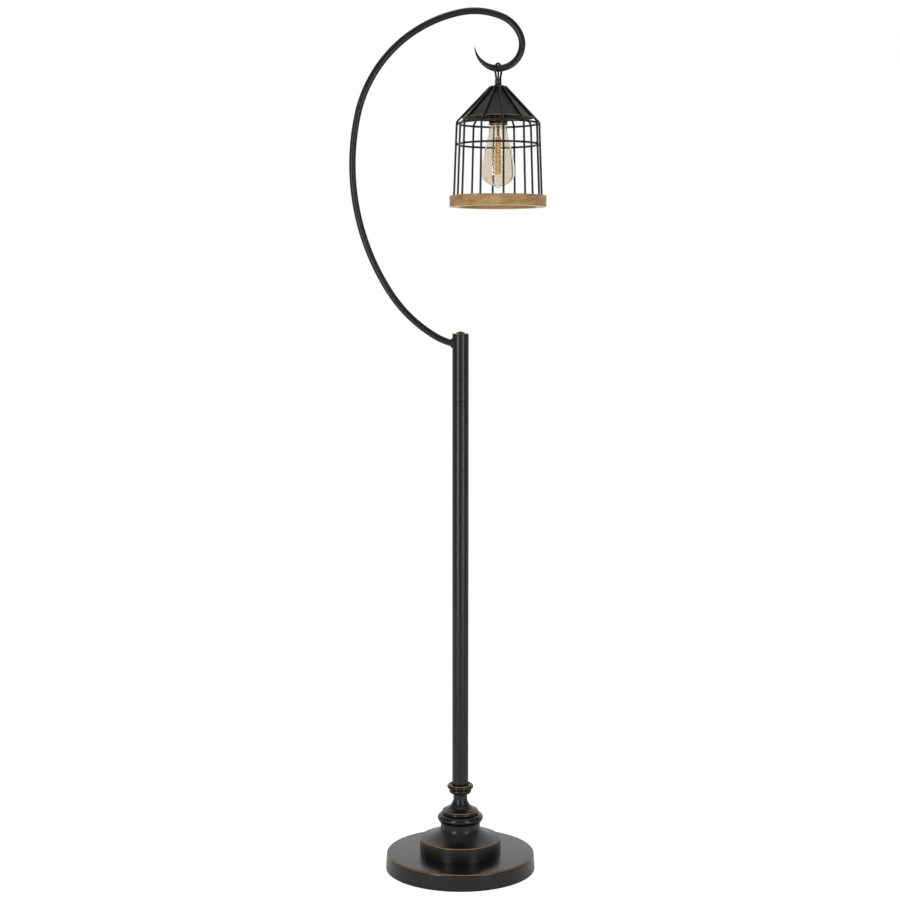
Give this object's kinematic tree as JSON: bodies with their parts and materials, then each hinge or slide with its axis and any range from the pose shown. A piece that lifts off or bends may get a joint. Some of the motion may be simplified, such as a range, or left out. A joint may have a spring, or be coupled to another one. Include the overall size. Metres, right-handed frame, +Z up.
{
  "type": "floor lamp",
  "caption": "Floor lamp: round weighted foot, slim post and a bowed arm whose hook carries a hanging wire cage shade with a wooden ring and a bare bulb.",
  "frame": {"origin": "centre of the foot's underside, on the post's axis", "axes": "+Z up along the post; the bowed arm and its hook lie in the XZ plane, and the cage hangs on the +X side; -Y is the front"},
  "size_m": [0.3745, 0.2931, 1.6597],
  "materials": {
    "black_metal": "satin black paint, edges rubbed through to a golden brown",
    "cast_iron": "raw casting",
    "plain_steel": "zinc plated",
    "felt": "dense felt",
    "black_rubber": "matte",
    "aged_brass": "aged, satin",
    "insulator": "matte",
    "natural_wood": "open grain, clear matte",
    "amber_glass": "pale amber, clear",
    "clear_glass": "clear",
    "filament": "amber phosphor coating"
  },
  "bodies": {
    "stand": {"base_pad": "felt", "base_weight": "cast_iron", "base_cover": "black_metal", "cord_grommet": "black_rubber", "base_washer": "plain_steel", "base_nut": "plain_steel", "centre_pipe": "plain_steel", "base_bell": "black_metal", "torus_ring": "black_metal", "neck_spindle": "black_metal", "post_cup": "black_metal", "post_foot_plug": "plain_steel", "post_lower_tube": "black_metal", "post_lower_plug": "plain_steel", "post_joint_stud": "plain_steel", "post_upper_plug": "plain_steel", "post_upper_tube": "black_metal", "post_cap": "black_metal", "cap_screw": "black_metal", "arm_tube": "black_metal", "arm_weld": "black_metal", "hook_tip": "black_metal", "hook_bush": "black_rubber", "lead_stand": "black_rubber"},
    "hanger": {"hanger_loop": "black_metal"},
    "shade": {"nipple": "plain_steel", "clamp_ring": "black_metal", "lock_nut": "plain_steel", "lead_drop": "black_rubber", "cage_cap": "black_metal", "inner_cone": "black_metal", "mid_hoop": "black_metal", "shoulder_hoop": "black_metal", "wood_ring": "natural_wood", "socket_cap": "black_metal", "socket_shell": "aged_brass", "socket_liner": "insulator", "socket_block": "insulator", "socket_thread_shell": "plain_steel", "socket_contact": "aged_brass", "cage_wire_01": "black_metal", "cage_wire_02": "black_metal", "cage_wire_03": "black_metal", "cage_wire_04": "black_metal", "cage_wire_05": "black_metal", "cage_wire_06": "black_metal", "cage_wire_07": "black_metal", "cage_wire_08": "black_metal", "cage_wire_09": "black_metal", "cage_wire_10": "black_metal", "cage_wire_11": "black_metal", "cage_wire_12": "black_metal"},
    "bulb": {"bulb_glass": "amber_glass", "bulb_cap": "plain_steel", "bulb_insulator": "insulator", "bulb_contact": "aged_brass", "bulb_stem": "clear_glass", "bulb_filaments": "filament"}
  },
  "joints": [
    {"name": "shade_swing", "type": "hinge", "parent": "stand", "child": "hanger", "pos_m": [0.07091, 0, 1.54674], "axis": [1, 0, 0], "range_deg": [-45, 45]},
    {"name": "shade_turn", "type": "hinge", "parent": "hanger", "child": "shade", "pos_m": [0.07091, 0, 1.516], "axis": [0, 0, 1], "range_deg": [-90, 90]},
    {"name": "bulb_out", "type": "slide", "parent": "shade", "child": "bulb", "axis": [0, 0, -1], "range_m": [0, 0.2]}
  ]
}
